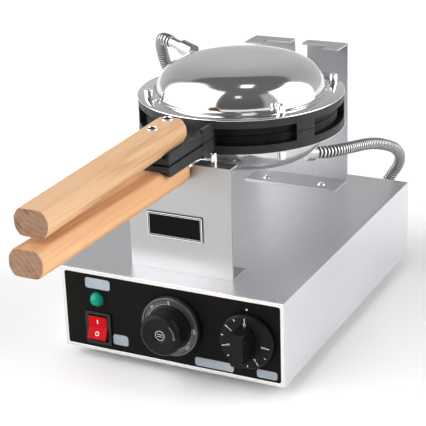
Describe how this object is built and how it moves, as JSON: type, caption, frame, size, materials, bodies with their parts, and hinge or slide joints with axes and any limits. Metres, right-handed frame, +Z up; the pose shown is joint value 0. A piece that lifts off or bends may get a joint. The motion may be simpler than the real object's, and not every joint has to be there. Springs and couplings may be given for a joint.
{
  "type": "electric bubble waffle iron",
  "caption": "Countertop electric waffle iron with a round two-half pan that lifts, turns over and opens between folded stands on a control box, with wooden handles.",
  "frame": {"origin": "on the floor, at the centre of the rectangle around the box, its glands and the handles", "axes": "-Y towards the control panel and handles, +X to the right seen from the front, +Z up"},
  "size_m": [0.2702, 0.6727, 0.295],
  "materials": {
    "housing_steel": "satin brushed",
    "frame_steel": "satin",
    "cover_steel": "satin",
    "panel_black": "semi-gloss black",
    "foot_rubber": "matt",
    "screw_steel": "bright",
    "stand_steel": "fine brushed",
    "nameplate_black": "semi-gloss",
    "chrome_fittings": "polished",
    "label_grey": "matt",
    "lamp_green": "clear green",
    "switch_black": "fine matt",
    "rocker_red": "glossy red",
    "control_body": "matt",
    "spindle_steel": "turned",
    "dial_silver": "satin grey",
    "knob_black": "semi-gloss black",
    "terminal_plastic": "matt",
    "gland_black": "matt",
    "gland_steel": "satin",
    "hose_steel": "bright interlocked strip",
    "bush_brass": "turned",
    "pan_cast": "fine matt black",
    "plate_nonstick": "non-stick satin",
    "dome_polished": "mirror polished",
    "heater_tube": "heat-darkened",
    "insulation_wool": "fibrous",
    "lower_handle_wood": "oiled",
    "upper_handle_wood": "oiled"
  },
  "bodies": {
    "base": {"housing": "housing_steel", "front_frame": "frame_steel", "control_panel": "panel_black", "bottom_cover": "cover_steel", "feet": "foot_rubber", "cover_screws": "screw_steel", "front_stand": "stand_steel", "rear_stand": "stand_steel", "stand_screws": "screw_steel", "nameplate": "nameplate_black", "guide_posts": "chrome_fittings", "label_plates": "label_grey", "lamp_bezel": "chrome_fittings", "lamp_lens": "lamp_green", "rocker_frame": "switch_black", "thermostat_body": "control_body", "timer_body": "control_body", "terminal_block": "terminal_plastic", "power_inlet": "gland_black", "hose_glands": "gland_steel", "lower_hose": "hose_steel", "upper_hose": "hose_steel"},
    "rocker": {"rocker": "rocker_red"},
    "thermostat": {"thermostat_spindle": "spindle_steel", "thermostat_dial": "dial_silver", "thermostat_cap": "knob_black"},
    "timer": {"timer_spindle": "spindle_steel", "timer_dial": "knob_black", "timer_grip": "knob_black"},
    "yoke": {"trunnion_bush": "bush_brass"},
    "lower": {"trunnion_shaft": "spindle_steel", "shaft_nut": "screw_steel", "hinge_pin": "spindle_steel", "lower_pan": "pan_cast", "lower_plate": "plate_nonstick", "lower_dome": "dome_polished", "lower_heater": "heater_tube", "lower_insulation": "insulation_wool", "lower_handle": "lower_handle_wood", "lower_handle_screws": "screw_steel", "lower_cap_nuts": "chrome_fittings", "lower_hose_fitting": "gland_steel"},
    "upper": {"upper_pan": "pan_cast", "upper_plate": "plate_nonstick", "upper_dome": "dome_polished", "upper_heater": "heater_tube", "upper_insulation": "insulation_wool", "upper_handle": "upper_handle_wood", "upper_handle_screws": "screw_steel", "upper_cap_nuts": "chrome_fittings", "upper_hose_fitting": "gland_steel"}
  },
  "joints": [
    {"name": "rocker_tilt", "type": "hinge", "parent": "base", "child": "rocker", "pos_m": [-0.0835, -0.06825, 0.0387], "axis": [1, 0, 0], "range_deg": [0, 20]},
    {"name": "thermostat_turn", "type": "hinge", "parent": "base", "child": "thermostat", "pos_m": [0.0037, -0.07925, 0.0585], "axis": [0, 1, 0], "range_deg": [0, 270]},
    {"name": "timer_turn", "type": "hinge", "parent": "base", "child": "timer", "pos_m": [0.087, -0.07825, 0.0575], "axis": [0, 1, 0], "range_deg": [0, 265]},
    {"name": "pan_lift", "type": "hinge", "parent": "base", "child": "yoke", "pos_m": [0, 0.27175, 0.2355], "axis": [1, 0, 0], "range_deg": [-15, 0], "deforming": ["lower_hose", "upper_hose"]},
    {"name": "pan_flip", "type": "hinge", "parent": "yoke", "child": "lower", "pos_m": [0, 0.10675, 0.2355], "axis": [0, 1, 0], "range_deg": [-180, 0]},
    {"name": "pan_open", "type": "hinge", "parent": "lower", "child": "upper", "pos_m": [0, 0.22675, 0.2355], "axis": [-1, 0, 0], "range_deg": [0, 68]}
  ]
}
